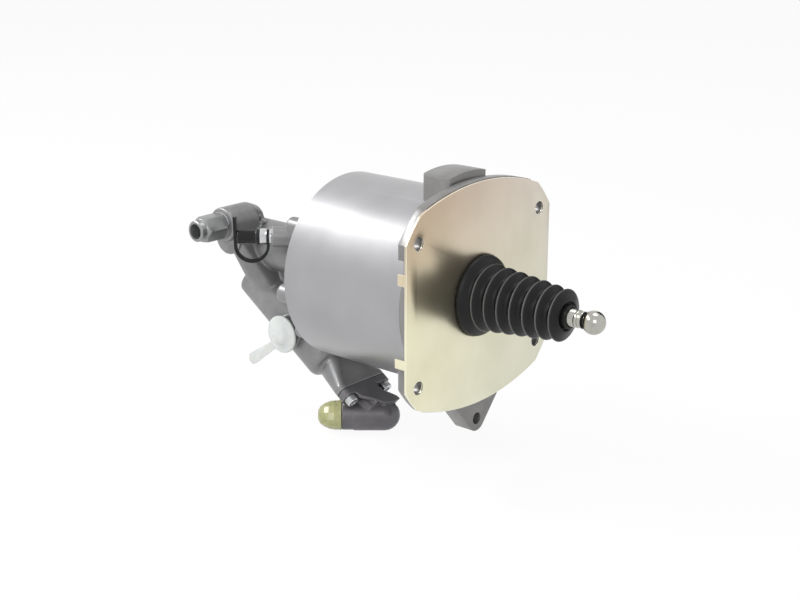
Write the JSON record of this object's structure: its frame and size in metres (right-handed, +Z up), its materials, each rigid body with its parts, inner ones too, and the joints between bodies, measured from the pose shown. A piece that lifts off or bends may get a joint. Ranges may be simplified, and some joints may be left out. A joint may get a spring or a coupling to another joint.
{
  "type": "clutch servo",
  "caption": "Air-assisted clutch servo with a bellows-sealed ball-end pushrod, a control valve in a slanted barrel and a four-bolt mounting flange.",
  "frame": {"origin": "centre of the four mounting bolts, on the front face of the cover plate", "axes": "+X along the pushrod, outwards; +Z up, towards the cast boss; the ports are on the -Y side"},
  "size_m": [0.3033, 0.143, 0.1928],
  "materials": {
    "satin_aluminium": "satin die-cast and turned",
    "cast_aluminium": "fine-grained die casting",
    "dark_cast_aluminium": "dull die casting",
    "yellow_zinc": "yellow chromated zinc, satin",
    "bright_zinc": "bright zinc plate",
    "polished_steel": "ground and polished",
    "fitting_steel": "dull zinc plate",
    "spring_steel": "phosphated",
    "bronze": "sintered bush",
    "brass": "turned",
    "boot_rubber": "moulded, matt",
    "seal_rubber": "moulded",
    "gasket_board": "fibre gasket",
    "guide_plastic": "filled plastic band",
    "white_plastic": "moulded",
    "clear_plastic": "translucent moulded"
  },
  "bodies": {
    "housing": {"cylinder_housing": "satin_aluminium", "cover_plate": "yellow_zinc", "bellows": "boot_rubber", "rear_housing": "cast_aluminium", "rear_screws": "bright_zinc", "rear_oring": "seal_rubber", "plunger_bush": "bronze", "plunger_seal": "seal_rubber", "plunger_wiper": "seal_rubber", "seal_circlip": "spring_steel", "inlet_fitting": "fitting_steel", "fitting_washer": "satin_aluminium", "return_spring": "spring_steel", "spool_spring": "spring_steel", "valve_seat": "brass", "seat_oring": "seal_rubber", "poppet_spring": "spring_steel", "poppet_guide": "brass", "air_inlet_housing": "dark_cast_aluminium", "air_inlet_gasket": "gasket_board", "air_inlet_screws": "bright_zinc", "cap_strap": "seal_rubber"},
    "piston": {"power_piston": "cast_aluminium", "piston_seal": "seal_rubber", "piston_guide_ring": "guide_plastic", "plunger": "polished_steel", "plunger_circlip": "spring_steel", "pushrod": "polished_steel", "pushrod_clip": "spring_steel", "rod_ring": "seal_rubber"},
    "valve_spool": {"reaction_piston": "polished_steel", "reaction_seal": "seal_rubber", "exhaust_tube": "polished_steel", "control_seal": "seal_rubber"},
    "valve_poppet": {"poppet": "brass", "poppet_rubber": "seal_rubber"},
    "bleed_screw": {"bleed_screw": "bright_zinc"},
    "bleeder_cap": {"bleeder_cap": "seal_rubber"},
    "inlet_plug": {"inlet_plug": "clear_plastic"},
    "exhaust_plug": {"exhaust_plug": "white_plastic"}
  },
  "joints": [
    {"name": "piston_stroke", "type": "slide", "parent": "housing", "child": "piston", "axis": [1, 0, 0], "range_m": [0, 0.04], "stiffness_N_per_m": 1500, "springref_m": -0.05, "deforming": ["bellows", "return_spring"]},
    {"name": "valve_travel", "type": "slide", "parent": "housing", "child": "valve_spool", "axis": [0.8192, 0, -0.5736], "range_m": [0, 0.003], "stiffness_N_per_m": 800, "springref_m": -0.005, "deforming": ["spool_spring"]},
    {"name": "poppet_travel", "type": "slide", "parent": "housing", "child": "valve_poppet", "axis": [0.8192, 0, -0.5736], "range_m": [0, 0.0015], "stiffness_N_per_m": 300, "springref_m": -0.004, "deforming": ["poppet_spring"]},
    {"name": "bleed_turn", "type": "hinge", "parent": "housing", "child": "bleed_screw", "pos_m": [-0.15962, -0.02505, 0.01496], "axis": [-0.7547, -0.6561, 0], "range_deg": [0, 180]},
    {"name": "cap_pull", "type": "slide", "parent": "housing", "child": "bleeder_cap", "axis": [-0.7547, -0.6561, 0], "range_m": [0, 0.013], "deforming": ["cap_strap"]},
    {"name": "inlet_plug_pull", "type": "slide", "parent": "housing", "child": "inlet_plug", "axis": [-0.7547, -0.6561, 0], "range_m": [0, 0.03]},
    {"name": "exhaust_plug_pull", "type": "slide", "parent": "housing", "child": "exhaust_plug", "axis": [0, -1, 0], "range_m": [0, 0.03]}
  ],
  "couplings": [
    {"joint": "poppet_travel", "follows": "valve_travel", "ratio": 0.5}
  ]
}
